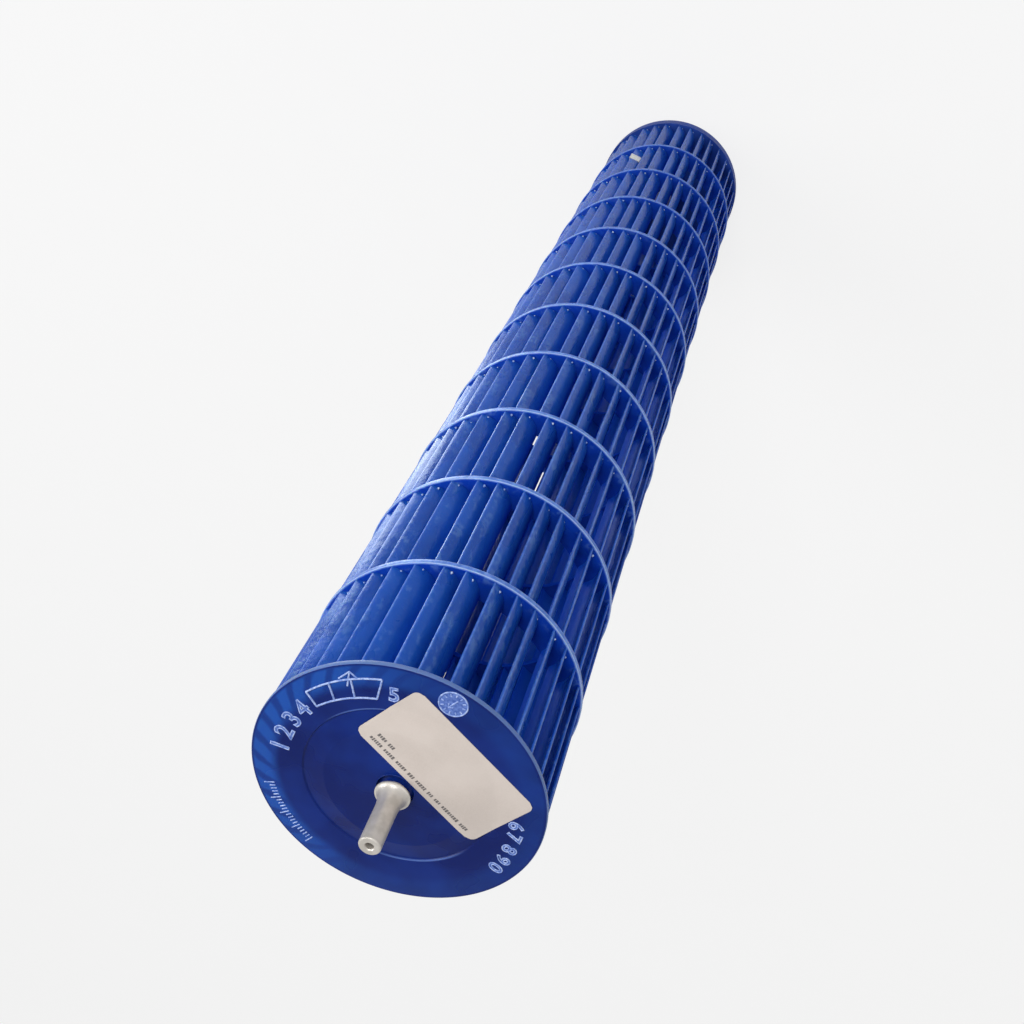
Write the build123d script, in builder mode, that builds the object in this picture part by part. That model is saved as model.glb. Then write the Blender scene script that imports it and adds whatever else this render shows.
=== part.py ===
"""Cross flow fan wheel: a welded stack of blade sections between a shaft end and a motor end.

Millimetres. The wheel turns about Z. It stands on the rim of its motor end at Z = 0, shaft up.
"""

import os
from math import cos, degrees, hypot, radians, sin

from build123d import *

# Whole wheel
wheel_diameter = 107.5
section_pitch = 63.0
ring_section_count = 10
cap_height = 9.5

# Rings and blades
ring_thickness = 2.5
ring_land = 0.8  # inside the blades' inner edges
blade_count = 35
blade_setback = 0.5  # of the blades' outermost corners from the rings' edge
blade_thickness = 1.1
blade_camber_radius = 11.8
blade_outer_slope = 63.0  # from radial, at the outer edge; the inner edge is radial
blade_flat_count = 2  # flats that follow the camber on each face
first_blade_angle = -29.8
section_twist = 4.7  # each section is turned this much against the one above it
blade_steps = (9, 9, 10, 12, 9, 12, 10, 9, 11.5, 9.5, 10.5, 9, 10.5, 10.5)  # uneven, to spread the tone

# Shaft end plate
plate_thickness = 2.0
rim_bevel = 0.6
groove_radius = 34.7
groove_depth = 0.5
groove_width = 0.5
dish_radius = 26.3
dish_rise = 1.1
boss_ledge = 0.4  # round the collar
boss_rise = 3.6
boss_draft = 0.2
boss_depth = 20.0
boss_wall = 2.8  # round the shank, below the plate

# End shaft, moulded into the shaft end plate
shaft_diameter = 8.0
shaft_reach = 28.0  # from the plate's outer face to the tip
shaft_chamfer = 0.6
centre_hole_diameter = 3.0
centre_hole_depth = 6.0
collar_radius = 6.5
collar_lip = 0.6
collar_flare_length = 7.6
collar_flare_cone_count = 3
shank_radius = 4.5
shank_floor = 2.0  # plastic under the shank
shank_groove_depth = 0.8
shank_groove_width = 4.0

# Motor end cap
cap_wall = 2.0
cap_plate_thickness = 2.5
hub_height = 24.0
hub_wall = 3.0

# Metal bush in the motor end cap, and its set screw
bush_diameter = 15.0
bush_bore = 8.0
bush_foot = 1.5  # the bush stands this far below the cap's plate
bush_flange_diameter = 18.0
bush_flange_thickness = 1.5
screw_diameter = 5.0
screw_length = 7.0
screw_tip_clearance = 0.4  # from the bore
screw_below_top = 8.0
screw_socket = 2.5
screw_socket_depth = 3.0
screw_hole_clearance = 0.4
screw_direction = -80.0

# Balance clip, on one blade
clip_section = 9
clip_blade = 6
clip_sheet = 0.5
clip_gap = 0.05
clip_length = 11.0
clip_above_ring = 15.0
clip_cover = 0.82  # of the blade's camber, from the outer edge

# Paper label on the shaft end plate
label_length = 59.0
label_width = 31.0
label_corner = 3.0
label_thickness = 0.15
label_x = -12.5
label_y = -19.0
label_angle = -27.5
label_bridge = 1.8  # from the groove's edge to where the label meets the flat rim

# Levels and radii that follow from these
wheel_radius = wheel_diameter / 2
blade_tip_radius = wheel_radius - blade_setback - blade_thickness / 2 * sin(radians(blade_outer_slope))
blade_length = section_pitch - ring_thickness
first_blade_length = blade_length - plate_thickness
wheel_length = cap_height + ring_section_count * section_pitch + blade_length
plate_bottom = wheel_length - plate_thickness
boss_radius = collar_radius + boss_ledge
boss_top = wheel_length + boss_rise
boss_bottom = plate_bottom - boss_depth
cap_plate_bottom = cap_height - cap_plate_thickness
hub_radius = bush_diameter / 2 + hub_wall
hub_top = cap_height + hub_height
bush_bottom = cap_plate_bottom - bush_foot
screw_level = hub_top - screw_below_top
label_fold_radius = groove_radius + label_bridge


def ring_top(section):
    """Level of the upper face of a section's ring, counted from 1 at the shaft end."""
    return cap_height + (ring_section_count + 1 - section) * section_pitch


def blade_angles(section):
    """Directions of a section's blades, clockwise from the first. The first section is 0."""
    steps = [blade_steps[i % len(blade_steps)] for i in range(blade_count)]
    scale = 360 / sum(steps)
    start = first_blade_angle + section * section_twist
    return [start - scale * sum(steps[:i]) for i in range(blade_count)]


def camber_point(offset, slope):
    """A point on the camber arc, or beside it on the convex side by offset."""
    radius = blade_camber_radius + offset
    centre_x = blade_tip_radius - blade_camber_radius * sin(radians(blade_outer_slope))
    centre_y = blade_camber_radius * cos(radians(blade_outer_slope))
    return centre_x + radius * sin(radians(slope)), centre_y - radius * cos(radians(slope))


def blade_outline(half_thickness, cover=1.0, overhang=0.0):
    """Corners round a blade along X, over a share of its camber from the outer edge.

    The outer edge reaches past the blade's own by overhang.
    """
    shares = [i / blade_flat_count for i in range(blade_flat_count + 1)]
    flats = [share for share in shares if share < cover] + [cover]
    slopes = [blade_outer_slope * (1 - share) for share in flats]
    slopes[0] += degrees(overhang / blade_camber_radius)
    convex = [camber_point(half_thickness, slope) for slope in slopes]
    concave = [camber_point(-half_thickness, slope) for slope in reversed(slopes)]
    return convex + concave


def export(part, name):
    """Labels a finished piece and writes it."""
    part.label = name
    export_step(part, f"parts/{name}.step")


os.makedirs("parts", exist_ok=True)

blade_root_radius = hypot(*camber_point(0, 0))
ring_inner_radius = blade_root_radius - ring_land

with BuildSketch() as blade:
    with BuildLine():
        Polyline(*blade_outline(blade_thickness / 2), close=True)
    make_face()

# Shaft end: the plate with the first blades and the boss round the shaft, one moulding
with BuildSketch(Plane.XZ) as plate_profile:
    with BuildLine():
        Polyline(
            (0, boss_top),
            (boss_radius - boss_draft, boss_top),
            (boss_radius, wheel_length + dish_rise),
            (dish_radius, wheel_length + dish_rise),
            (groove_radius - groove_width, wheel_length - groove_depth),
            (groove_radius, wheel_length),
            (wheel_radius - rim_bevel, wheel_length),
            (wheel_radius, wheel_length - rim_bevel),
            (wheel_radius, plate_bottom),
            (groove_radius - groove_width, plate_bottom),
            (dish_radius, plate_bottom + dish_rise),
            (shank_radius + boss_wall, plate_bottom + dish_rise),
            (shank_radius + boss_wall, boss_bottom),
            (0, boss_bottom),
            close=True,
        )
    make_face()

shank_bottom = boss_bottom + shank_floor
shank_groove_level = (shank_bottom + plate_bottom - shank_groove_width) / 2
with BuildSketch(Plane.XZ) as shank_profile:
    with BuildLine():
        Polyline(
            (0, shank_bottom),
            (shank_radius, shank_bottom),
            (shank_radius, shank_groove_level),
            (shank_radius - shank_groove_depth, shank_groove_level),
            (shank_radius - shank_groove_depth, shank_groove_level + shank_groove_width),
            (shank_radius, shank_groove_level + shank_groove_width),
            (shank_radius, boss_top),
            (0, boss_top),
            close=True,
        )
    make_face()

with BuildPart() as shaft_end_section:
    with BuildSketch(Plane.XY.offset(plate_bottom)):
        for angle in blade_angles(0):
            with Locations(Location((0, 0, 0), (0, 0, angle))):
                add(blade.sketch)
    extrude(amount=-first_blade_length)
    revolve(plate_profile.sketch, Axis.Z)
    revolve(shank_profile.sketch, Axis.Z, mode=Mode.SUBTRACT)
export(shaft_end_section.part, "shaft_end_section")

# End shaft: steel, with a flared collar that seats on the boss
shaft_radius = shaft_diameter / 2
tip_level = wheel_length + shaft_reach
flare_top = boss_top + collar_lip + collar_flare_length
flare_turns = [radians(90 * i / collar_flare_cone_count) for i in range(collar_flare_cone_count + 1)]
flare_points = [
    (
        collar_radius - (collar_radius - shaft_radius) * sin(turn),
        flare_top - collar_flare_length * cos(turn),
    )
    for turn in flare_turns
]
with BuildSketch(Plane.XZ) as collar_profile:
    with BuildLine():
        Polyline((0, boss_top), (collar_radius, boss_top), *flare_points, (0, flare_top), close=True)
    make_face()

with BuildPart() as end_shaft:
    revolve(shank_profile.sketch, Axis.Z)
    revolve(collar_profile.sketch, Axis.Z)
    with BuildSketch(Plane.XY.offset(flare_top)):
        Circle(shaft_radius)
    extrude(amount=tip_level - flare_top)
    chamfer(end_shaft.faces().sort_by(Axis.Z)[-1].edges(), shaft_chamfer)
    with Locations((0, 0, tip_level)):
        Hole(centre_hole_diameter / 2, depth=centre_hole_depth)
export(end_shaft.part, "end_shaft")

# Ring sections: one moulding ten times over, each ring with the blades below it, which are
# welded to the next ring
with BuildPart() as moulding:
    with BuildSketch():
        Circle(wheel_radius)
        Circle(ring_inner_radius, mode=Mode.SUBTRACT)
    extrude(amount=-ring_thickness)
    with BuildSketch(Plane.XY.offset(-ring_thickness)):
        for angle in blade_angles(0):
            with Locations(Location((0, 0, 0), (0, 0, angle))):
                add(blade.sketch)
    extrude(amount=-blade_length)

for section in range(1, ring_section_count + 1):
    with BuildPart() as ring_section:
        with Locations(Location((0, 0, ring_top(section)), (0, 0, section * section_twist))):
            add(moulding.part)
    export(ring_section.part, f"blade_section_{section + 1:02d}")

# Motor end cap: rim, end plate and the hub round the bush, one moulding
bush_flange_top = bush_bottom + bush_flange_thickness
with BuildSketch(Plane.XZ) as bush_profile:
    with BuildLine():
        Polyline(
            (bush_bore / 2, bush_bottom),
            (bush_flange_diameter / 2, bush_bottom),
            (bush_flange_diameter / 2, bush_flange_top),
            (bush_diameter / 2, bush_flange_top),
            (bush_diameter / 2, hub_top),
            (bush_bore / 2, hub_top),
            close=True,
        )
    make_face()

screw_out = (cos(radians(screw_direction)), sin(radians(screw_direction)), 0)
screw_plane = Plane(origin=(0, 0, screw_level), x_dir=(0, 0, 1), z_dir=screw_out)

with BuildPart() as motor_end_cap:
    with BuildSketch():
        Circle(wheel_radius)
        Circle(wheel_radius - cap_wall, mode=Mode.SUBTRACT)
    extrude(amount=cap_height)
    with BuildSketch(Plane.XY.offset(cap_plate_bottom)):
        Circle(wheel_radius)
    extrude(amount=cap_plate_thickness)
    with BuildSketch(Plane.XY.offset(cap_height)):
        Circle(hub_radius)
    extrude(amount=hub_height)
    with Locations((0, 0, hub_top)):
        Hole(bush_diameter / 2)
    with BuildSketch(screw_plane):
        Circle(screw_diameter / 2 + screw_hole_clearance)
    extrude(amount=hub_radius * 2, mode=Mode.SUBTRACT)
export(motor_end_cap.part, "motor_end_cap")

screw_tip = bush_bore / 2 + screw_tip_clearance
with BuildPart() as motor_bush:
    revolve(bush_profile.sketch, Axis.Z)
    with BuildSketch(screw_plane):
        Circle(screw_diameter / 2)
    extrude(amount=bush_diameter, mode=Mode.SUBTRACT)
export(motor_bush.part, "motor_bush")

with BuildPart() as bush_screw:
    with BuildSketch(screw_plane.offset(screw_tip)):
        Circle(screw_diameter / 2)
    extrude(amount=screw_length)
    with BuildSketch(screw_plane.offset(screw_tip + screw_length)):
        RegularPolygon(screw_socket / 2, 6, major_radius=False)
    extrude(amount=-screw_socket_depth, mode=Mode.SUBTRACT)
export(bush_screw.part, "bush_screw")

# Balance clip: spring steel folded over one blade's outer edge
clip_bottom = ring_top(clip_section + 1) + clip_above_ring
clip_half_inside = blade_thickness / 2 + clip_gap
clip_half_outside = clip_half_inside + clip_sheet
with BuildSketch() as clip_profile:
    with BuildLine():
        Polyline(*blade_outline(clip_half_outside, clip_cover, clip_gap + clip_sheet), close=True)
    make_face()
    with BuildLine():
        Polyline(*blade_outline(clip_half_inside, 1.0, clip_gap), close=True)
    make_face(mode=Mode.SUBTRACT)

with BuildPart() as balance_clip:
    with BuildSketch(Plane.XY.offset(clip_bottom)):
        with Locations(Location((0, 0, 0), (0, 0, blade_angles(clip_section)[clip_blade]))):
            add(clip_profile.sketch)
    extrude(amount=clip_length)
export(balance_clip.part, "balance_clip")

# Paper label: bridges the groove and lies on the dish and the flat rim
with BuildPart() as paper_label:
    with BuildSketch(Plane.XZ):
        with BuildLine():
            Polyline(
                (boss_radius, wheel_length + dish_rise),
                (dish_radius, wheel_length + dish_rise),
                (label_fold_radius, wheel_length),
                (wheel_radius, wheel_length),
                (wheel_radius, wheel_length + label_thickness),
                (label_fold_radius, wheel_length + label_thickness),
                (dish_radius, wheel_length + dish_rise + label_thickness),
                (boss_radius, wheel_length + dish_rise + label_thickness),
                close=True,
            )
        make_face()
    revolve(axis=Axis.Z)
    with BuildSketch(Plane((label_x, label_y, wheel_length)).rotated((0, 0, label_angle))):
        RectangleRounded(label_length, label_width, label_corner)
    extrude(amount=boss_rise, both=True, mode=Mode.INTERSECT)
export(paper_label.part, "paper_label")
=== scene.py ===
"""Looks of a cross flow fan wheel: blue translucent blade mouldings, a steel stub shaft and a paper label.

The wheel's axis is Z and it stands on its motor end. Sizes are in millimetres and meshes are scaled by MM
into the frame's metres. Angles are in degrees about Z, counter-clockwise seen from the shaft end.
"""

import random
from math import cos, hypot, pi, radians, sin

import bpy
from mathutils import Matrix, Vector


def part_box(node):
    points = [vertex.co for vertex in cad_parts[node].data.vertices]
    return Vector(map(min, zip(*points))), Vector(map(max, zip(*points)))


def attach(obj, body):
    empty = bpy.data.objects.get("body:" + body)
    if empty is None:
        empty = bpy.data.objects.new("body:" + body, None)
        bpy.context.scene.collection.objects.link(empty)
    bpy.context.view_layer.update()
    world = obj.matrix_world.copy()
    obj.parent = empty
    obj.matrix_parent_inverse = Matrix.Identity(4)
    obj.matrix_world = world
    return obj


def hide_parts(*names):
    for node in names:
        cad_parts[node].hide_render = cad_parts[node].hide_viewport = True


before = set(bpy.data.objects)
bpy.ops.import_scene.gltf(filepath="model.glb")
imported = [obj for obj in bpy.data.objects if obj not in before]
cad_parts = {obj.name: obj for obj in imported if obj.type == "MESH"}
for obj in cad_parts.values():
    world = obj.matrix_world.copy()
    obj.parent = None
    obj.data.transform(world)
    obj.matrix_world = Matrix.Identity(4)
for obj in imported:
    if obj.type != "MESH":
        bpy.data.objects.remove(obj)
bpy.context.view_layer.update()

MM = 0.001
SHARP_ANGLE = 35
SHAFT_REACH = 28.0  # from the end plate's flat rim to the stub shaft's tip

# Levels and radii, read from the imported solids
box = {node: [[v / MM for v in corner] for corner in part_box(node)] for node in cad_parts}
SECTIONS = sorted(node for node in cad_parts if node.startswith("blade_section_"))
wheel_radius = box["blade_section_02"][1][0]
tip_level = box["end_shaft"][1][2]
ring_pitch = box[SECTIONS[0]][1][2] - box[SECTIONS[1]][1][2]
face_level = tip_level - SHAFT_REACH

# Rings and blades
RING_THICKNESS = 2.5
RING_INNER_RADIUS = 42.0
RING_ROUNDING = 0.35
PLATE_THICKNESS = 2.0
BLADE_COUNT = 35
BLADE_STEPS = (9, 9, 10, 12, 9, 12, 10, 9, 11.5, 9.5, 10.5, 9, 10.5, 10.5)
FIRST_BLADE_ANGLE = -29.8
SECTION_TWIST = 4.7
BLADE_TIP_RADIUS = 52.76
BLADE_CAMBER_RADIUS = 11.8
BLADE_OUTER_SLOPE = 63.0
BLADE_ROOT_THICKNESS = 1.15
BLADE_END_THICKNESS = 1.0
ROOT_DEPTH = 0.4  # of the blades' roots inside their own ring
WELD_DEPTH = 0.15  # of the blades' ends inside the next ring
RING_FACETS = 180

# Weld beads, on the blades' convex face
BEAD_CAMBER_SHARE = 0.72
BEAD_SHIFT = 0.4
BEAD_SIZES = (0.38, 0.68)
BEAD_HEIGHTS = (0.5, 1.4)
BEAD_LENGTH = 1.8

# Shaft end plate, as radius and height above the flat rim
RIM_ROUNDING = 0.6
GROOVE_RADIUS = 34.7
GROOVE_WIDTH = 0.5
GROOVE_DEPTH = 0.5
DISH_RADIUS = 26.3
DISH_RISE = 1.1
BOSS_RADIUS = 6.9
BOSS_RISE = 3.6
BOSS_DRAFT = 0.2
BOSS_DEPTH = 20.0  # below the plate
PLATE_FACETS = 192
PLATE_MARGIN = 0.05  # below the plate, where its faces end and the blades' begin

# Stub shaft
SHAFT_RADIUS = 4.0
COLLAR_RADIUS = 6.5
COLLAR_LIP = 0.6
LIP_ROUNDING = 0.15
FLARE_LENGTH = 7.6
FLARE_STEPS = 14
FLARE_RUN_OUT = 0.5
NOSE_ROUNDING = 0.6
CENTRE_HOLE_RADIUS = 1.5
CENTRE_HOLE_DEPTH = 6.0
CENTRE_HOLE_CONE = 0.8
CENTRE_HOLE_CHAMFER = (0.35, 0.4)
SHAFT_FACETS = 96

# Label
LABEL_SIZE = (59.0, 31.0)
LABEL_CORNER = 3.0
LABEL_CENTRE = (-12.5, -19.0)
LABEL_ANGLE = -27.5
LABEL_THICKNESS = 0.15
LABEL_FOLD_RADIUS = 36.5
LABEL_BULGE = 0.08
LABEL_GAP = 0.02

# Blocks in place of the label's print. A row is its place across the label, its start and its stop.
PRINT_ROWS = ((12.6, -24.5, 24.0), (9.4, 16.0, 23.5))
PRINT_HALF_DEPTH = 0.03
BLOCK_WIDTHS = (0.55, 0.85)
BLOCK_HEIGHTS = (1.15, 1.6)
BLOCK_GAP = 0.28
WORD_GAP = 1.3
WORD_LENGTHS = (3, 8)

# Relief marks on the plate's rim. A place is a radius and an angle, and a ridge is a radius.
DIGITS = (  # text, radius, angle, height
    ("1", 42.9, 6.4, 6.8),
    ("2", 42.9, -3.3, 6.8),
    ("3", 42.9, -13.0, 6.8),
    ("4", 42.9, -22.2, 6.8),
    ("5", 41.6, -71.6, 5.6),
    ("6", 43.4, -170.5, 5.2),
    ("7", 44.0, -177.5, 5.2),
    ("8", 44.8, 174.0, 5.2),
    ("9", 45.6, 166.5, 5.2),
    ("0", 46.2, 160.0, 5.2),
)
DIGIT_HEIGHT_SHARE = 0.7  # of the font's size
DIGIT_RIDGE = 0.24
DIGIT_SWELL = 0.08
DIGIT_FACE_HALF_DEPTH = 0.08
TABLE_OUTER_ANGLES = (-30.7, -42.8, -53.2, -66.8)
TABLE_INNER_ANGLES = (-29.4, -40.3, -51.4, -62.9)
TABLE_INNER_RADII = (41.0, 40.4, 39.8, 39.2)
TABLE_OUTER_RADIUS = 47.5
TABLE_RIDGE = 0.38
ARROW_TIP = (50.6, -54.0)
ARROW_TAIL = (45.0, -50.5)
ARROW_BARBS = ((47.3, -56.5), (48.4, -48.2))
ARROW_RIDGE = 0.34
TICK_COUNT = 21
TICK_START = 64.0
TICK_STEP = 1.7
TICK_RADII = (46.6, 48.8, 50.6)
TICK_RIDGE = 0.24
CLOCK_PLACE = (47.2, -97)
CLOCK_RADIUS = 5.0
CLOCK_MARK_RADII = (3.3, 4.4)
CLOCK_RIDGE = 0.28
CLOCK_HEAD = (2.3, 1.1)  # the pointer's ends, as radius and turn in radians from the clock's own centre
CLOCK_TAIL = (2.3, -2.0)
CLOCK_BARBS = ((1.5, 1.9), (1.6, 0.2))
CLOCK_FACE_RADIUS = 4.9
CLOCK_FACE_HALF_DEPTH = 0.06
CLOCK_FACETS = 48

# Balance clip
CLIP_ROUNDING = 0.25
CLIP_EDGE_ANGLE = 40

# Radii and levels between which the plastic's look changes. Most place painted light: brighter roots, sheen,
# highlights, the plate's lit band and glints.
ROOT_FADE = (43.0, 51.0)
SHEEN_FADE = (49.0, 52.0)
TIP_HIGHLIGHT_FADE = (52.8, 53.2)
RING_EDGE_FADE = (53.3, 53.5)
FAR_END_FADE = (100.0, 520.0)
PLATE_BAND_INNER = (42.5, 47.5)
PLATE_BAND_OUTER = (52.2, 53.4)
PLATE_EDGE_HIGHLIGHT_FADE = (53.35, 53.6)
GROOVE_LIP_INNER = (34.3, 34.7)
GROOVE_LIP_OUTER = (34.9, 35.3)
GROOVE_GLINT_ANGLE = 122.0

# Studio. The camera's and the lights' places are in metres.
CAMERA_PLACE = Vector((0.0, -0.3302, 1.0006))
CAMERA_AIM = Vector((0.0040, 0.0, 0.5161))
CAMERA_ROLL = -154.98
CAMERA_LENS = 44.09
SENSOR_WIDTH = 36.0
FLOOR_HALF_SIZE = 6000
BACKGROUND_WHITE = 0.94
FLOOR_WHITE = 0.97
FLOOR_CAMERA_SHARE = 0.8
FLOOR_MIRROR_SHARE = 0.25
WORLD_LIGHT = 0.56
WORLD_MIRROR_EXTRA = 0.1

random.seed(7)


# ---------------------------------------------------------------- materials


class Graph:
    """A node material under construction. Sockets are passed by name."""

    def __init__(self, name):
        self.material = bpy.data.materials.new(name)
        self.material.use_nodes = True
        self.nodes = self.material.node_tree.nodes
        self.links = self.material.node_tree.links
        self.nodes.clear()
        self.shader = self.add("ShaderNodeBsdfPrincipled")
        output = self.add("ShaderNodeOutputMaterial")
        self.links.new(self.shader.outputs["BSDF"], output.inputs["Surface"])
        self.place = self.add("ShaderNodeTexCoord").outputs["Object"]

    def add(self, kind, **settings):
        node = self.nodes.new(kind)
        for key, value in settings.items():
            setattr(node, key, value)
        return node

    def put(self, socket, value):
        if isinstance(value, bpy.types.NodeSocket):
            self.links.new(value, socket)
        else:
            socket.default_value = value

    def set(self, **values):
        """Sets the shader's sockets. An underscore in a name stands for a space."""
        for name, value in values.items():
            self.put(self.shader.inputs[name.replace("_", " ")], value)

    def math(self, operation, *values):
        node = self.add("ShaderNodeMath", operation=operation)
        for socket, value in zip(node.inputs, values):
            self.put(socket, value)
        return node.outputs[0]

    def vector(self, operation, *values):
        node = self.add("ShaderNodeVectorMath", operation=operation)
        for socket, value in zip(node.inputs, values):
            self.put(socket, value)
        return node.outputs[0]

    def ramp(self, value, low, high, start=0.0, end=1.0):
        """Maps low..high smoothly to start..end, clamped."""
        node = self.add("ShaderNodeMapRange", interpolation_type="SMOOTHSTEP")
        for name, number in (("From Min", low), ("From Max", high), ("To Min", start), ("To Max", end)):
            self.put(node.inputs[name], number)
        self.put(node.inputs["Value"], value)
        return node.outputs["Result"]

    def mix(self, factor, a, b):
        node = self.add("ShaderNodeMix", data_type="RGBA")
        self.put(node.inputs["Factor"], factor)
        self.put(node.inputs[6], (*a, 1.0) if isinstance(a, tuple) else a)
        self.put(node.inputs[7], (*b, 1.0) if isinstance(b, tuple) else b)
        return node.outputs[2]

    def noise(self, size, stretch=(1.0, 1.0, 1.0), detail=3.0, distortion=0.0):
        """Noise whose features are about size millimetres, longer along an axis by its stretch."""
        scaled = self.vector("MULTIPLY", self.place, tuple(1.0 / (size * MM * s) for s in stretch))
        node = self.add("ShaderNodeTexNoise")
        self.put(node.inputs["Vector"], scaled)
        settings = {"Scale": 1.0, "Detail": detail, "Roughness": 0.5, "Distortion": distortion}
        for name, number in settings.items():
            self.put(node.inputs[name], number)
        return node.outputs["Fac"]

    def radius(self):
        """Distance from the wheel's axis, in millimetres."""
        flat = self.vector("MULTIPLY", self.place, (1.0 / MM, 1.0 / MM, 0.0))
        node = self.add("ShaderNodeVectorMath", operation="LENGTH")
        self.put(node.inputs[0], flat)
        return node.outputs["Value"]

    def turn(self):
        """Direction about the wheel's axis, in radians."""
        parts = self.add("ShaderNodeSeparateXYZ")
        self.put(parts.inputs[0], self.place)
        return self.math("ARCTAN2", parts.outputs["Y"], parts.outputs["X"])

    def level(self):
        """Height, in millimetres."""
        parts = self.add("ShaderNodeSeparateXYZ")
        self.put(parts.inputs[0], self.place)
        return self.math("MULTIPLY", parts.outputs["Z"], 1.0 / MM)

    def facing_up(self):
        """The surface's slope: 1 where it faces up, 0 where it is upright, -1 where it faces down."""
        parts = self.add("ShaderNodeSeparateXYZ")
        self.put(parts.inputs[0], self.add("ShaderNodeNewGeometry").outputs["True Normal"])
        return parts.outputs["Z"]

    def bump(self, height, depth):
        """Bumps the surface by height, 0 to 1, times depth millimetres."""
        node = self.add("ShaderNodeBump")
        self.put(node.inputs["Strength"], 1.0)
        self.put(node.inputs["Distance"], depth * MM)
        self.put(node.inputs["Height"], height)
        self.put(self.shader.inputs["Normal"], node.outputs["Normal"])


def blade_plastic():
    """Translucent blue with painted light. A purer, more saturated blue towards the roots stands in for light
    through the plastic in the shaded gaps; painted shade gives the rings' flat faces a deeper, purer blue; a
    painted sheen and painted highlights on the blade tips and the rings' rounded corners pale the outer edges
    and fade towards the far end.
    """
    g = Graph("blue_blade_plastic")
    radius = g.radius()
    smoke = g.noise(14.0, (1.0, 1.0, 2.5), detail=4.0, distortion=0.6)
    fine = g.noise(2.2, (1.0, 1.0, 1.5), detail=3.0)
    coarse = g.noise(8.0, (1.0, 1.0, 2.5), detail=1.0)
    colour = g.mix(g.ramp(smoke, 0.35, 0.68), (0.007, 0.060, 0.350), (0.011, 0.084, 0.440))
    # Painted light: a purer, more saturated blue towards the roots stands in for light shining through the
    # plastic into the shaded gaps between the blades.
    deep = g.ramp(radius, *ROOT_FADE, 1.0, 0.0)
    colour = g.mix(deep, colour, (0.003, 0.070, 0.560))
    # Painted shade: a deeper, purer blue on the rings' flat upper and lower faces stands in for the dark
    # inside of the wheel seen through the clear rings.
    slope = g.math("ABSOLUTE", g.facing_up())
    flat = g.math("MULTIPLY", g.ramp(slope, 0.80, 0.98), g.ramp(radius, *RING_EDGE_FADE, 1.0, 0.0))
    colour = g.mix(flat, colour, (0.004, 0.042, 0.380))
    # The painted sheen and highlights below fade to 30 % towards the far end: painted shade where less light
    # falls.
    near_light = g.ramp(g.level(), *FAR_END_FADE, 0.30, 1.0)
    # Painted sheen: pale cyan-white mottling on the blades' outer part stands in for reflections of bright
    # surroundings.
    painted_sheen = g.math("MULTIPLY", g.ramp(radius, *SHEEN_FADE), g.ramp(g.math("ADD", fine, coarse), 1.02, 1.30))
    painted_sheen = g.math("MULTIPLY", painted_sheen, g.math("MULTIPLY", near_light, 0.20))
    colour = g.mix(painted_sheen, colour, (0.190, 0.370, 0.620))
    # Painted highlight: a pale line along the blades' rounded tips.
    tip = g.math("MULTIPLY", g.ramp(radius, *TIP_HIGHLIGHT_FADE), g.ramp(fine, 0.3, 0.7, 0.40, 0.85))
    colour = g.mix(g.math("MULTIPLY", tip, near_light), colour, (0.150, 0.280, 0.680))
    # Painted highlight: paler rounded corners and outer faces of the rings.
    corner = g.math("MULTIPLY", g.ramp(slope, 0.12, 0.25), g.ramp(radius, *RING_EDGE_FADE))
    corner = g.math("MULTIPLY", corner, g.math("MULTIPLY", near_light, 0.80))
    colour = g.mix(corner, colour, (0.360, 0.480, 0.730))
    g.set(Base_Color=colour, IOR=1.49)
    g.set(Specular_IOR_Level=0.18, Specular_Tint=(0.50, 0.76, 1.0, 1.0))
    g.set(Roughness=g.math("ADD", g.ramp(smoke, 0.3, 0.7, 0.20, 0.32), g.math("MULTIPLY", deep, 0.45)))
    g.set(Subsurface_Weight=0.25, Subsurface_Radius=(0.15, 0.6, 3.0), Subsurface_Scale=0.001)
    g.bump(g.math("ADD", fine, g.math("MULTIPLY", coarse, 1.5)), 0.20)
    return g.material


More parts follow.
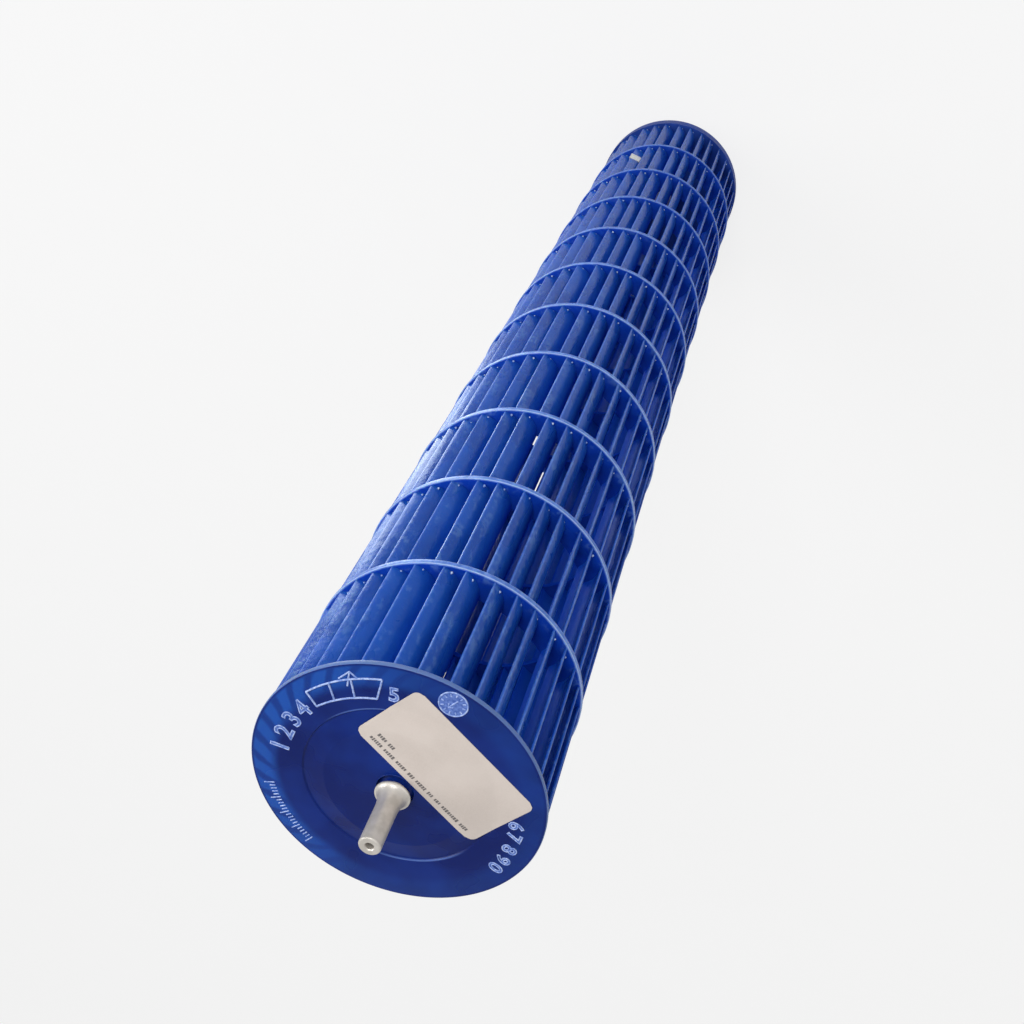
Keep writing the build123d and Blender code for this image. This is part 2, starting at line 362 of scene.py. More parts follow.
def plate_plastic():
    """The same blue on the end plate, with painted light: a brighter band on its rim, strongest on the +X
    side where the lamps stand, with darker streaks where the blades' roots show through, a painted highlight
    on its outer edge and painted glints where its groove's lip glints.
    """
    g = Graph("blue_plate_plastic")
    radius, turn = g.radius(), g.turn()
    smoke = g.noise(22.0, detail=2.0)
    waver = g.noise(9.0, detail=2.0)
    # Painted light: a brighter blue band on the rim, strongest on the +X side where the lamps stand, stands
    # in for light through the plastic; the darker streaks in it are painted shade of the blades' roots seen
    # through the plate.
    comb = g.math("MULTIPLY", turn, float(BLADE_COUNT))
    comb = g.math("ADD", comb, g.math("MULTIPLY", radius, 0.55))
    comb = g.math("ADD", comb, g.math("MULTIPLY", waver, 3.0))
    streak = g.ramp(g.math("SINE", comb), -0.2, 0.9)
    band = g.math("MULTIPLY", g.ramp(radius, *PLATE_BAND_INNER), g.ramp(radius, *PLATE_BAND_OUTER, 1.0, 0.0))
    side = g.ramp(g.math("COSINE", turn), -0.2, 0.8, 0.2, 1.0)
    streak = g.math("MULTIPLY", g.math("MULTIPLY", streak, band), side)
    colour = g.mix(g.ramp(smoke, 0.35, 0.7), (0.001, 0.009, 0.105), (0.003, 0.020, 0.170))
    glow = g.math("MULTIPLY", band, g.math("MULTIPLY", side, 0.75))
    colour = g.mix(glow, colour, (0.012, 0.085, 0.400))
    colour = g.mix(g.math("MULTIPLY", streak, 0.65), colour, (0.003, 0.016, 0.150))
    # Painted glints: a paler groove lip on two opposite arcs.
    lip = g.math("MULTIPLY", g.ramp(radius, *GROOVE_LIP_INNER), g.ramp(radius, *GROOVE_LIP_OUTER, 1.0, 0.0))
    twice = g.math("ADD", g.math("MULTIPLY", turn, 2.0), -2.0 * radians(GROOVE_GLINT_ANGLE))
    glint = g.ramp(g.math("COSINE", twice), 0.35, 1.0)
    colour = g.mix(g.math("MULTIPLY", lip, g.math("MULTIPLY", glint, 0.7)), colour, (0.100, 0.180, 0.480))
    # Painted highlight along the plate's outer edge.
    edge = g.ramp(radius, *PLATE_EDGE_HIGHLIGHT_FADE, 0.0, 0.5)
    colour = g.mix(edge, colour, (0.200, 0.330, 0.640))
    g.set(Base_Color=colour, Roughness=g.ramp(smoke, 0.3, 0.7, 0.24, 0.36), IOR=1.49)
    g.set(Specular_IOR_Level=0.14)
    g.set(Subsurface_Weight=0.2, Subsurface_Radius=(0.15, 0.6, 3.0), Subsurface_Scale=0.001)
    g.bump(g.noise(5.0, detail=1.0), 0.02)
    return g.material


def cap_plastic():
    """A duller, darker blue for the motor end's band."""
    g = Graph("blue_cap_plastic")
    smoke = g.noise(14.0, detail=4.0)
    colour = g.mix(g.ramp(smoke, 0.35, 0.7), (0.007, 0.036, 0.240), (0.012, 0.052, 0.300))
    g.set(Base_Color=colour, Roughness=g.ramp(smoke, 0.3, 0.7, 0.40, 0.55), IOR=1.49)
    g.set(Specular_IOR_Level=0.2)
    g.bump(g.noise(3.0, detail=2.0), 0.05)
    return g.material


def relief_plastic(name, low, high):
    """Paler plastic of raised marks and beads, mottled between two colours. On the weld beads the pale colour
    is a painted glint.
    """
    g = Graph(name)
    mottle = g.noise(1.4, detail=3.0)
    g.set(Base_Color=g.mix(g.ramp(mottle, 0.3, 0.7), low, high), Roughness=0.4, IOR=1.49)
    g.bump(mottle, 0.05)
    return g.material


def paper():
    g = Graph("label_paper")
    fibre = g.noise(0.5, detail=4.0)
    stain = g.noise(16.0, detail=3.0)
    colour = g.mix(g.ramp(stain, 0.35, 0.7), (0.570, 0.505, 0.462), (0.525, 0.462, 0.420))
    colour = g.mix(g.ramp(fibre, 0.35, 0.65, 0.0, 0.25), colour, (0.610, 0.550, 0.505))
    g.set(Base_Color=colour, Roughness=0.62, Specular_IOR_Level=0.35)
    g.bump(fibre, 0.02)
    return g.material


def ink():
    g = Graph("label_ink")
    worn = g.noise(0.4, detail=2.0)
    colour = g.mix(g.ramp(worn, 0.35, 0.65), (0.090, 0.080, 0.080), (0.170, 0.155, 0.150))
    g.set(Base_Color=colour, Roughness=0.6)
    return g.material


def turned_steel():
    g = Graph("turned_shaft_steel")
    level = g.level()
    rings = g.math("SINE", g.math("MULTIPLY", level, 21.0))
    dull = g.noise(4.0, detail=3.0)
    colour = g.mix(g.ramp(dull, 0.3, 0.7), (0.640, 0.605, 0.560), (0.520, 0.490, 0.445))
    g.set(Base_Color=colour, Metallic=0.55, Roughness=g.ramp(dull, 0.3, 0.7, 0.34, 0.46))
    g.bump(g.math("ADD", g.math("MULTIPLY", rings, 0.2), dull), 0.02)
    return g.material


def plain_metal(name, light, dark, roughness):
    g = Graph(name)
    dull = g.noise(1.2, detail=3.0)
    g.set(Base_Color=g.mix(g.ramp(dull, 0.3, 0.7), light, dark), Metallic=0.9)
    g.set(Roughness=g.ramp(dull, 0.3, 0.7, roughness, roughness + 0.12))
    g.bump(dull, 0.02)
    return g.material


# ---------------------------------------------------------------- meshes


def mesh_piece(name, verts, faces, material, sharp=SHARP_ANGLE):
    """An object from points in millimetres, smooth apart from its sharp edges."""
    mesh = bpy.data.meshes.new(name)
    mesh.from_pydata([Vector(v) * MM for v in verts], [], faces)
    mesh.validate()
    mesh.materials.append(material)
    mesh.shade_smooth()
    mesh.set_sharp_from_angle(angle=radians(sharp))
    piece = bpy.data.objects.new(name, mesh)
    bpy.context.collection.objects.link(piece)
    return piece


def lathe(profile, count, closed=False):
    """Revolves (radius, height) points about Z. An open profile starts and ends on the axis."""
    verts, rings = [], []
    for r, z in profile:
        if r < 1e-6:
            rings.append([len(verts)] * count)
            verts.append((0.0, 0.0, z))
        else:
            rings.append([len(verts) + i for i in range(count)])
            verts += [(r * cos(2 * pi * i / count), r * sin(2 * pi * i / count), z) for i in range(count)]
    faces = []
    pairs = list(zip(rings, rings[1:])) + ([(rings[-1], rings[0])] if closed else [])
    for upper, lower in pairs:
        for i in range(count):
            j = (i + 1) % count
            corners = [upper[i], lower[i], lower[j], upper[j]]
            faces.append(list(dict.fromkeys(corners)))
    return verts, faces


def rounded(corner, start, end, radius, steps=3):
    """Points of a fillet at a corner, from the side of start to that of end."""
    a = (Vector(start) - Vector(corner)).normalized()
    b = (Vector(end) - Vector(corner)).normalized()
    half = a.angle(b) / 2
    first = Vector(corner) + a * radius / (sin(half) / cos(half))
    last = Vector(corner) + b * radius / (sin(half) / cos(half))
    centre = Vector(corner) + (a + b).normalized() * radius / sin(half)
    points = []
    for i in range(steps + 1):
        way = (first - centre).lerp(last - centre, i / steps).normalized()
        points.append(tuple(centre + way * radius))
    return points


def fillet_profile(points, radii, steps=3):
    """The profile with its corners rounded. A radius of 0 keeps a corner."""
    out = []
    for i, (point, radius) in enumerate(zip(points, radii)):
        if radius:
            out += rounded(point, points[i - 1], points[(i + 1) % len(points)], radius, steps)
        else:
            out.append(point)
    return out


def camber(slope, offset=0.0):
    """A point on the blade's camber arc at its slope in radians, or beside it on the convex side."""
    radius = BLADE_CAMBER_RADIUS + offset
    centre_x = BLADE_TIP_RADIUS - BLADE_CAMBER_RADIUS * sin(radians(BLADE_OUTER_SLOPE))
    centre_y = BLADE_CAMBER_RADIUS * cos(radians(BLADE_OUTER_SLOPE))
    return Vector((centre_x + radius * sin(slope), centre_y - radius * cos(slope)))


def blade_outline(thickness, arc_steps=12, end_steps=5):
    """Points round a blade along X: the convex side, a round inner end, the concave side, a round tip."""
    half = thickness / 2
    inner = half / BLADE_CAMBER_RADIUS
    outer = radians(BLADE_OUTER_SLOPE) - inner
    slopes = [outer + (inner - outer) * i / arc_steps for i in range(arc_steps + 1)]
    points = [camber(s, half) for s in slopes]
    for end, slope, way in ((slopes[-1], inner, -1), (slopes[0], outer, 1)):
        normal = Vector((sin(slope), -cos(slope)))
        along = Vector((cos(slope), sin(slope))) * way
        if way == 1:
            points += [camber(s, -half) for s in reversed(slopes)]
            normal = -normal
        for i in range(1, end_steps):
            turn = pi * i / end_steps
            points.append(camber(end) + (normal * cos(turn) + along * sin(turn)) * half)
    return points


def prism(levels):
    """A closed prism through (outline, height) levels, from the top one down."""
    count = len(levels[0][0])
    verts = [(p[0], p[1], z) for outline, z in levels for p in outline]
    faces = []
    for level in range(len(levels) - 1):
        for i in range(count):
            j = (i + 1) % count
            a, b = level * count, (level + 1) * count
            faces.append([a + i, b + i, b + j, a + j])
    faces.append(list(range(count)))
    faces.append([len(verts) - 1 - i for i in range(count)])
    return verts, faces


def blade_angles():
    """Directions of the first section's blades."""
    steps = [BLADE_STEPS[i % len(BLADE_STEPS)] for i in range(BLADE_COUNT)]
    scale = 360 / sum(steps)
    return [FIRST_BLADE_ANGLE - scale * sum(steps[:i]) for i in range(BLADE_COUNT)]


def blade_mesh(root_level, end_level):
    """All the blades of a section, from inside its ring down to inside the next."""
    verts, faces = [], []
    levels = [
        (blade_outline(BLADE_ROOT_THICKNESS), root_level + ROOT_DEPTH),
        (blade_outline(BLADE_ROOT_THICKNESS), root_level),
        (blade_outline(BLADE_END_THICKNESS), end_level - WELD_DEPTH),
    ]
    one, one_faces = prism(levels)
    for angle in blade_angles():
        turn = Matrix.Rotation(radians(angle), 3, "Z")
        start = len(verts)
        verts += [tuple(turn @ Vector(v)) for v in one]
        faces += [[start + i for i in face] for face in one_faces]
    return verts, faces


def joined(name, base, blades, material):
    """The union of two closed meshes as one object."""
    body = mesh_piece(name, *base, material)
    tool = mesh_piece(name + "_blades", *blades, material)
    cut = body.modifiers.new("union", "BOOLEAN")
    cut.operation, cut.object, cut.solver = "UNION", tool, "EXACT"
    graph = bpy.context.evaluated_depsgraph_get()
    mesh = bpy.data.meshes.new_from_object(body.evaluated_get(graph))
    body.modifiers.clear()
    body.data = mesh
    bpy.data.objects.remove(tool)
    mesh.shade_smooth()
    mesh.set_sharp_from_angle(angle=radians(SHARP_ANGLE))
    return body


def dress(piece, slot, *nodes):
    """Rides the piece on the wheel in place of its nodes. Its slot is not used."""
    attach(piece, "root")
    if nodes:
        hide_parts(*nodes)
    return piece


# ---------------------------------------------------------------- blade mouldings


def shaft_end_piece(material):
    top, bottom = face_level, face_level - PLATE_THICKNESS
    groove = GROOVE_RADIUS - GROOVE_WIDTH
    outer = [
        (BOSS_RADIUS - BOSS_DRAFT, top + BOSS_RISE),
        (BOSS_RADIUS, top + DISH_RISE),
        (DISH_RADIUS, top + DISH_RISE),
        (groove, top - GROOVE_DEPTH),
        (GROOVE_RADIUS, top),
        (wheel_radius, top),
        (wheel_radius, bottom),
        (groove, bottom),
        (DISH_RADIUS, bottom + DISH_RISE),
        (BOSS_RADIUS, bottom + DISH_RISE),
        (BOSS_RADIUS, bottom - BOSS_DEPTH),
    ]
    radii = [0.15, 0.3, 0.8, 0.1, 0.15, RIM_ROUNDING, 0.3, 0, 0, 0, 0]  # of those corners, in order
    profile = [(0.0, top + BOSS_RISE)] + fillet_profile(outer, radii, 4) + [(0.0, outer[-1][1])]
    plate = lathe(profile, PLATE_FACETS)
    blades = blade_mesh(bottom, box[SECTIONS[0]][1][2])
    return joined("shaft_end_moulding", plate, blades, material)


def ring_moulding(material):
    """The ring section's mesh, with its ring's upper face at height 0."""
    corners = [
        (wheel_radius, 0.0),
        (wheel_radius, -RING_THICKNESS),
        (RING_INNER_RADIUS, -RING_THICKNESS),
        (RING_INNER_RADIUS, 0.0),
    ]
    profile = fillet_profile(corners, [RING_ROUNDING] * 4)
    ring = lathe(profile, RING_FACETS, closed=True)
    blades = blade_mesh(-RING_THICKNESS, -ring_pitch)
    return joined("ring_moulding", ring, blades, material)


blue = blade_plastic()
plate_blue = plate_plastic()

shaft_end = shaft_end_piece(plate_blue)
dress(shaft_end, "blue_plastic", "shaft_end_section")
shaft_end.data.materials.append(blue)
for polygon in shaft_end.data.polygons:
    if polygon.center.z < (face_level - PLATE_THICKNESS - PLATE_MARGIN) * MM:
        polygon.material_index = 1

moulding = ring_moulding(blue)
for number, node in enumerate(SECTIONS, start=1):
    ring = bpy.data.objects.new(f"ring_moulding_{number:02d}", moulding.data.copy())
    bpy.context.collection.objects.link(ring)
    turn = Matrix.Rotation(radians(number * SECTION_TWIST), 4, "Z")
    ring.data.transform(Matrix.Translation((0, 0, box[node][1][2] * MM)) @ turn)
    dress(ring, "blue_plastic", node)
bpy.data.objects.remove(moulding)


BEAD_POINTS = [(0, 0, BEAD_LENGTH), (0, 0, -BEAD_LENGTH)]
BEAD_POINTS += [(cos(pi * i / 3), sin(pi * i / 3), 0) for i in range(6)]
BEAD_FACES = [[0, 2 + i, 2 + (i + 1) % 6] for i in range(6)]
BEAD_FACES += [[1, 2 + (i + 1) % 6, 2 + i] for i in range(6)]


def weld_beads(material):
    """A bead of squeezed-out plastic on the convex face of every blade, where it meets the next ring."""
    verts, faces = [], []
    foot = camber(radians(BLADE_OUTER_SLOPE * BEAD_CAMBER_SHARE), BLADE_END_THICKNESS / 2)
    levels = [box[node][1][2] for node in SECTIONS] + [box[SECTIONS[-1]][0][2]]
    for section, level in enumerate(levels):
        for angle in blade_angles():
            turn = Matrix.Rotation(radians(angle + section * SECTION_TWIST), 2)
            x, y = turn @ (foot + Vector((random.uniform(-BEAD_SHIFT, BEAD_SHIFT), 0)))
            size, first = random.uniform(*BEAD_SIZES), len(verts)
            centre = Vector((x, y, level + random.uniform(*BEAD_HEIGHTS)))
            verts += [centre + Vector(p) * size for p in BEAD_POINTS]
            faces += [[first + i for i in face] for face in BEAD_FACES]
    return mesh_piece("weld_beads", verts, faces, material, sharp=180)


# Painted glint: the beads' pale colour stands in for the bright specks where the blades meet the next ring.
bead_painted_glint = relief_plastic("weld_bead_glint", (0.200, 0.330, 0.700), (0.620, 0.720, 0.900))
dress(weld_beads(bead_painted_glint), "blue_plastic")

# ---------------------------------------------------------------- stub shaft


def stub_shaft_piece(material):
    boss_top = face_level + BOSS_RISE
    flare_top = boss_top + COLLAR_LIP + FLARE_LENGTH
    bottom = box["end_shaft"][0][2]
    flare_width = COLLAR_RADIUS - SHAFT_RADIUS
    turns = [radians(90 * i / FLARE_STEPS) for i in range(FLARE_STEPS + 1)]
    flare = [(COLLAR_RADIUS - flare_width * sin(t), flare_top - FLARE_LENGTH * cos(t)) for t in turns]
    chamfer_width, chamfer_depth = CENTRE_HOLE_CHAMFER
    hole = [
        (0.0, tip_level - CENTRE_HOLE_DEPTH),
        (CENTRE_HOLE_RADIUS, tip_level - CENTRE_HOLE_DEPTH + CENTRE_HOLE_CONE),
        (CENTRE_HOLE_RADIUS, tip_level - chamfer_depth),
        (CENTRE_HOLE_RADIUS + chamfer_width, tip_level),
    ]
    nose = rounded((SHAFT_RADIUS, tip_level), (0, tip_level), (SHAFT_RADIUS, 0), NOSE_ROUNDING, 4)
    lip = rounded((COLLAR_RADIUS, boss_top), (COLLAR_RADIUS, flare_top), (0, boss_top), LIP_ROUNDING, 3)
    shank = [(SHAFT_RADIUS, boss_top), (SHAFT_RADIUS, bottom), (0.0, bottom)]
    profile = hole + nose + [(SHAFT_RADIUS, flare_top + FLARE_RUN_OUT)] + flare[::-1] + lip + shank
    return mesh_piece("stub_shaft", *lathe(profile, SHAFT_FACETS), material)


dress(stub_shaft_piece(turned_steel()), "shaft_steel", "end_shaft")

# ---------------------------------------------------------------- label


def label_height(r):
    """Height of the label's underside above the plate's flat rim: it bridges the groove."""
    if r <= DISH_RADIUS:
        return DISH_RISE
    if r >= LABEL_FOLD_RADIUS:
        return 0.0
    share = (r - DISH_RADIUS) / (LABEL_FOLD_RADIUS - DISH_RADIUS)
    return DISH_RISE * (1 - share) + LABEL_BULGE * sin(pi * share)


def label_point(u, v, lift=0.0):
    """A point of the label from its own coordinates, u along it and v across it."""
    turn = radians(LABEL_ANGLE)
    x = LABEL_CENTRE[0] + u * cos(turn) - v * sin(turn)
    y = LABEL_CENTRE[1] + u * sin(turn) + v * cos(turn)
    return x, y, face_level + label_height(hypot(x, y)) + LABEL_GAP + lift


def label_grid(columns=72, rows=38):
    """The label's points, row by row, with its corners rounded."""
    half_u, half_v = LABEL_SIZE[0] / 2, LABEL_SIZE[1] / 2
    points = []
    for row in range(rows + 1):
        v = half_v * (2 * row / rows - 1)
        inset = max(abs(v) - (half_v - LABEL_CORNER), 0.0)
        reach = half_u - LABEL_CORNER + (LABEL_CORNER**2 - inset**2) ** 0.5
        points.append([(reach * (2 * column / columns - 1), v) for column in range(columns + 1)])
    return points


def label_piece(material):
    grid = label_grid()
    rows, columns = len(grid), len(grid[0])
    verts = [label_point(u, v, LABEL_THICKNESS) for line in grid for u, v in line]
    verts += [label_point(u, v) for line in grid for u, v in line]
    under = rows * columns
    faces = []
    for r in range(rows - 1):
        for c in range(columns - 1):
            a = r * columns + c
            faces.append([a, a + 1, a + columns + 1, a + columns])
            faces.append([under + i for i in (a + columns, a + columns + 1, a + 1, a)])
    rim = [(0, c) for c in range(columns)] + [(r, columns - 1) for r in range(1, rows)]
    rim += [(rows - 1, c) for c in range(columns - 2, -1, -1)] + [(r, 0) for r in range(rows - 2, 0, -1)]
    for i, (r, c) in enumerate(rim):
        a, b = r * columns + c, rim[(i + 1) % len(rim)][0] * columns + rim[(i + 1) % len(rim)][1]
        faces.append([a, under + a, under + b, b])
    return mesh_piece("paper_sticker", verts, faces, material, sharp=50)


def print_piece(material):
    """Two rows of small blocks in word-like groups along the label's hub side. They are no letters."""
    verts, faces = [], []
    for v, start, stop in PRINT_ROWS:
        u, left = start, random.randint(*WORD_LENGTHS)
        while u < stop:
            width, height = random.uniform(*BLOCK_WIDTHS), random.uniform(*BLOCK_HEIGHTS)
            low, high, end = v - height / 2, v + height / 2, u + width
            corners = [(u, low), (end, low), (end, high), (u, high)]
            first = len(verts)
            verts += [label_point(*corner, LABEL_THICKNESS + PRINT_HALF_DEPTH) for corner in corners]
            verts += [label_point(*corner, LABEL_THICKNESS - PRINT_HALF_DEPTH) for corner in corners]
            faces += [[first + i for i in face] for face in BLOCK_FACES]
            left -= 1
            u += width + (BLOCK_GAP if left else WORD_GAP)
            left = left or random.randint(*WORD_LENGTHS)
    return mesh_piece("sticker_print", verts, faces, material)


BLOCK_FACES = [[0, 1, 2, 3], [7, 6, 5, 4], [0, 4, 5, 1], [1, 5, 6, 2], [2, 6, 7, 3], [3, 7, 4, 0]]

dress(label_piece(paper()), "label_paper", "paper_label")
dress(print_piece(ink()), "label_paper")

# ---------------------------------------------------------------- relief marks on the plate


def as_mesh(thing, name, material):
    """A curve or text object as a mesh piece, with its place in its mesh."""
    bpy.context.collection.objects.link(thing)
    bpy.context.view_layer.update()
    graph = bpy.context.evaluated_depsgraph_get()
    mesh = bpy.data.meshes.new_from_object(thing.evaluated_get(graph))
    mesh.transform(thing.matrix_world)
    bpy.data.objects.remove(thing)
    mesh.materials.clear()
    mesh.materials.append(material)
    mesh.shade_smooth()
    piece = bpy.data.objects.new(name, mesh)
    bpy.context.collection.objects.link(piece)
    return piece


def strokes(name, lines, material, depth):
    """Rounded ridges along lines of (x, y) points on the plate's rim."""
    curve = bpy.data.curves.new(name, "CURVE")
    curve.dimensions = "3D"
    curve.bevel_depth, curve.bevel_resolution, curve.use_fill_caps = depth * MM, 2, True
    for line in lines:
        spline = curve.splines.new("POLY")
        spline.points.add(len(line) - 1)
        for point, (x, y) in zip(spline.points, line):
            point.co = (x * MM, y * MM, face_level * MM, 1.0)
    return as_mesh(bpy.data.objects.new(name, curve), name, material)


def polar(r, angle):
    return r * cos(radians(angle)), r * sin(radians(angle))


def arc(r, start, stop, steps=12):
    return [polar(r, start + (stop - start) * i / steps) for i in range(steps + 1)]


def digit(text, r, angle, height):
    """A raised digit on the plate's rim, its top outwards: a frosted face inside a pale outline."""
    x, y = polar(r, angle)
    for kind, fill, material in (("outline", "NONE", pale), ("face", "BOTH", frosted)):
        curve = bpy.data.curves.new(f"mark_{text}", "FONT")
        curve.body, curve.size, curve.fill_mode = text, height / DIGIT_HEIGHT_SHARE * MM, fill
        curve.align_x, curve.align_y, curve.offset = "CENTER", "CENTER", DIGIT_SWELL * MM
        if fill == "NONE":
            curve.bevel_depth, curve.bevel_resolution = DIGIT_RIDGE * MM, 2
        else:
            curve.extrude = DIGIT_FACE_HALF_DEPTH * MM
        thing = bpy.data.objects.new(f"mark_{text}", curve)
        thing.location = (x * MM, y * MM, face_level * MM)
        thing.rotation_euler = (0, 0, radians(angle - 90))
        dress(as_mesh(thing, f"mark_{kind}_{text}", material), "blue_plastic")


pale = relief_plastic("pale_relief_plastic", (0.130, 0.220, 0.560), (0.420, 0.520, 0.800))
frosted = relief_plastic("frosted_relief_plastic", (0.030, 0.080, 0.330), (0.110, 0.190, 0.520))

for mark in DIGITS:
    digit(*mark)


def table_lines():
    """An empty table of three cells, as moulds have for a shift or a cavity."""
    angles, radii = TABLE_INNER_ANGLES, TABLE_INNER_RADII
    shares = [i / 12 for i in range(13)]
    inner_side = [
        polar(radii[0] + (radii[-1] - radii[0]) * share, angles[0] + (angles[-1] - angles[0]) * share)
        for share in shares
    ]
    bars = [
        [polar(r, inner), polar(TABLE_OUTER_RADIUS, outer)]
        for r, inner, outer in zip(radii, angles, TABLE_OUTER_ANGLES)
    ]
    return [arc(TABLE_OUTER_RADIUS, TABLE_OUTER_ANGLES[0], TABLE_OUTER_ANGLES[-1]), inner_side] + bars


def arrow_lines():
    tip = polar(*ARROW_TIP)
    return [[polar(*ARROW_TAIL), tip], [polar(*ARROW_BARBS[0]), tip, polar(*ARROW_BARBS[1])]]


def scale_lines():
    """A plain scale whose every fifth tick is longer."""
    foot, short, long = TICK_RADII
    angles = [TICK_START - TICK_STEP * i for i in range(TICK_COUNT)]
    return [[polar(foot, angle), polar(short if i % 5 else long, angle)] for i, angle in enumerate(angles)]


def clock_point(r, turn):
    x, y = polar(*CLOCK_PLACE)
    return x + r * cos(turn), y + r * sin(turn)


def clock_lines():
    """A mould's date clock: a rim, twelve marks and a pointer."""
    lines = [[clock_point(CLOCK_RADIUS, pi * i / 18) for i in range(37)]]
    lines += [[clock_point(r, pi * i / 6) for r in CLOCK_MARK_RADII] for i in range(12)]
    head, tail = clock_point(*CLOCK_HEAD), clock_point(*CLOCK_TAIL)
    return lines + [[tail, head], [clock_point(*CLOCK_BARBS[0]), head, clock_point(*CLOCK_BARBS[1])]]


def clock_face(material):
    half, (x, y) = CLOCK_FACE_HALF_DEPTH, polar(*CLOCK_PLACE)
    profile = [(0.0, half), (CLOCK_FACE_RADIUS, half), (CLOCK_FACE_RADIUS, -half), (0.0, -half)]
    verts, faces = lathe(profile, CLOCK_FACETS)
    verts = [(a + x, b + y, c + face_level) for a, b, c in verts]
    return mesh_piece("mark_clock_face", verts, faces, material)


for name, lines, ridge in (
    ("mark_arched_table", table_lines(), TABLE_RIDGE),
    ("mark_arrow", arrow_lines(), ARROW_RIDGE),
    ("mark_scale", scale_lines(), TICK_RIDGE),
    ("mark_date_clock", clock_lines(), CLOCK_RIDGE),
):
    dress(strokes(name, lines, pale, ridge), "blue_plastic")
dress(clock_face(frosted), "blue_plastic")

# ---------------------------------------------------------------- metal pieces and the motor end


def rounded_clip(material):
    """The clip's own solid with its edges rolled over."""
    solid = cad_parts["balance_clip"]
    piece = bpy.data.objects.new("rounded_clip", solid.data.copy())
    piece.matrix_world = solid.matrix_world.copy()
    bpy.context.collection.objects.link(piece)
    bevel = piece.modifiers.new("bevel", "BEVEL")
    bevel.width, bevel.segments = CLIP_ROUNDING * MM, 4
    bevel.limit_method, bevel.angle_limit = "ANGLE", radians(CLIP_EDGE_ANGLE)
    graph = bpy.context.evaluated_depsgraph_get()
    mesh = bpy.data.meshes.new_from_object(piece.evaluated_get(graph))
    piece.modifiers.clear()
    piece.data = mesh
    mesh.materials.clear()
    mesh.materials.append(material)
    mesh.shade_smooth()
    return piece


clip_steel = plain_metal("clip_steel", (0.80, 0.80, 0.78), (0.62, 0.62, 0.60), 0.3)
dress(rounded_clip(clip_steel), "clip_steel", "balance_clip")

for node, material in (
    ("motor_end_cap", cap_plastic()),
    ("motor_bush", plain_metal("bush_metal", (0.72, 0.72, 0.73), (0.60, 0.60, 0.62), 0.3)),
    ("bush_screw", plain_metal("screw_steel", (0.10, 0.10, 0.11), (0.05, 0.05, 0.06), 0.35)),
):
    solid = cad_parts[node]
    solid.data.materials.clear()
    solid.data.materials.append(material)

# ---------------------------------------------------------------- stage, light and camera


def floor_material():
    """Pale floor. It looks white to the camera, in reflections and through plastic, and keeps its shadow."""
    g = Graph("pale_floor")
    grain = g.noise(40.0, detail=2.0)
    colour = g.mix(g.ramp(grain, 0.3, 0.7), (0.77, 0.77, 0.77), (0.76, 0.76, 0.76))
    g.set(Base_Color=colour, Roughness=0.9, Specular_IOR_Level=0.1)
    path = g.add("ShaderNodeLightPath").outputs
    mirrored = g.math("MAXIMUM", path["Is Glossy Ray"], path["Is Transmission Ray"])
    mirrored = g.math("MULTIPLY", mirrored, FLOOR_MIRROR_SHARE)
    seen = g.math("MAXIMUM", g.math("MULTIPLY", path["Is Camera Ray"], FLOOR_CAMERA_SHARE), mirrored)
    white = g.add("ShaderNodeEmission")
    g.put(white.inputs["Color"], (1.0, 1.0, 1.0, 1.0))
    g.put(white.inputs["Strength"], FLOOR_WHITE)
    blend = g.add("ShaderNodeMixShader")
    g.put(blend.inputs[0], seen)
    g.links.new(g.shader.outputs["BSDF"], blend.inputs[1])
    g.links.new(white.outputs["Emission"], blend.inputs[2])
    output = next(node for node in g.nodes if node.type == "OUTPUT_MATERIAL")
    g.links.new(blend.outputs["Shader"], output.inputs["Surface"])
    return g.material


def area_light(name, place, aim, size, power, colour=(1.0, 1.0, 1.0)):
    """A lamp of size metres and power watts at place, turned towards aim."""
    light = bpy.data.lights.new(name, "AREA")
    light.shape, light.size, light.size_y = "RECTANGLE", size[0], size[1]
    light.energy, light.color = power, colour
    thing = bpy.data.objects.new(name, light)
    thing.location = place
    thing.rotation_euler = (Vector(aim) - Vector(place)).to_track_quat("-Z", "Y").to_euler()
    bpy.context.collection.objects.link(thing)
    return thing


far = FLOOR_HALF_SIZE
floor_verts = [(-far, -far, 0), (far, -far, 0), (far, far, 0), (-far, far, 0)]
floor = mesh_piece("studio_floor", floor_verts, [[0, 1, 2, 3]], floor_material())


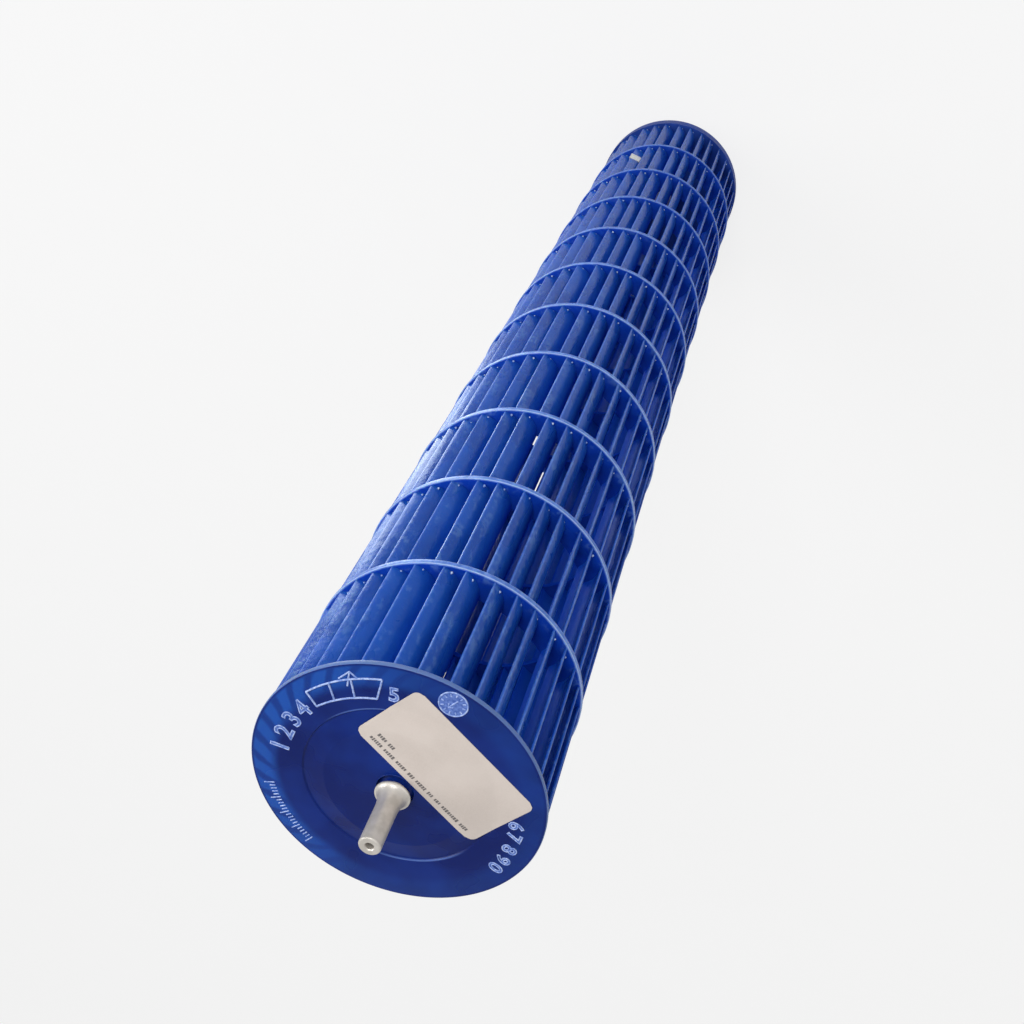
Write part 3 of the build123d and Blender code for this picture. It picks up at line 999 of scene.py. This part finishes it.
def studio_world():
    """Plain light that looks white to the camera and a little brighter in reflections and through plastic."""
    world = bpy.data.worlds.new("studio")
    world.use_nodes = True
    nodes, links = world.node_tree.nodes, world.node_tree.links

    def math(operation, *values):
        node = nodes.new("ShaderNodeMath")
        node.operation = operation
        for socket, value in zip(node.inputs, values):
            if isinstance(value, bpy.types.NodeSocket):
                links.new(value, socket)
            else:
                socket.default_value = value
        return node.outputs[0]

    rays = nodes.new("ShaderNodeLightPath").outputs
    mirrored = math("MAXIMUM", rays["Is Glossy Ray"], rays["Is Transmission Ray"])
    dimmed = math("MULTIPLY_ADD", mirrored, WORLD_MIRROR_EXTRA, WORLD_LIGHT)
    strength = math("MULTIPLY_ADD", rays["Is Camera Ray"], BACKGROUND_WHITE - WORLD_LIGHT, dimmed)
    nodes["Background"].inputs["Color"].default_value = (1.0, 1.0, 1.0, 1.0)
    links.new(strength, nodes["Background"].inputs["Strength"])
    return world


bpy.context.scene.world = studio_world()

area_light("window", place=(0.40, -1.10, 1.55), aim=(0, 0, 0.6), size=(0.6, 0.6), power=9.5)
area_light("side", place=(1.1, 0.0, 1.35), aim=(0, 0, 0.6), size=(0.8, 0.8), power=8)
area_light("ceiling", place=(-0.3, -0.2, 2.2), aim=(0, 0, 0.4), size=(1.4, 1.4), power=3)
place, aim = (0.45, -0.10, 0.004), (0.45, -0.10, 1.0)
card = area_light("reflector", place, aim, size=(0.30, 0.42), power=2.7, colour=(0.90, 0.98, 1.0))
card.visible_camera = False

camera = bpy.data.objects.new("camera", bpy.data.cameras.new("camera"))
camera.data.lens, camera.data.sensor_width = CAMERA_LENS, SENSOR_WIDTH
camera.location = CAMERA_PLACE
towards = (CAMERA_AIM - CAMERA_PLACE).to_track_quat("-Z", "Y").to_matrix()
camera.rotation_euler = (towards @ Matrix.Rotation(radians(CAMERA_ROLL), 3, "Z")).to_euler()
bpy.context.collection.objects.link(camera)
bpy.context.scene.camera = camera
bpy.context.scene.view_settings.view_transform = "Standard"
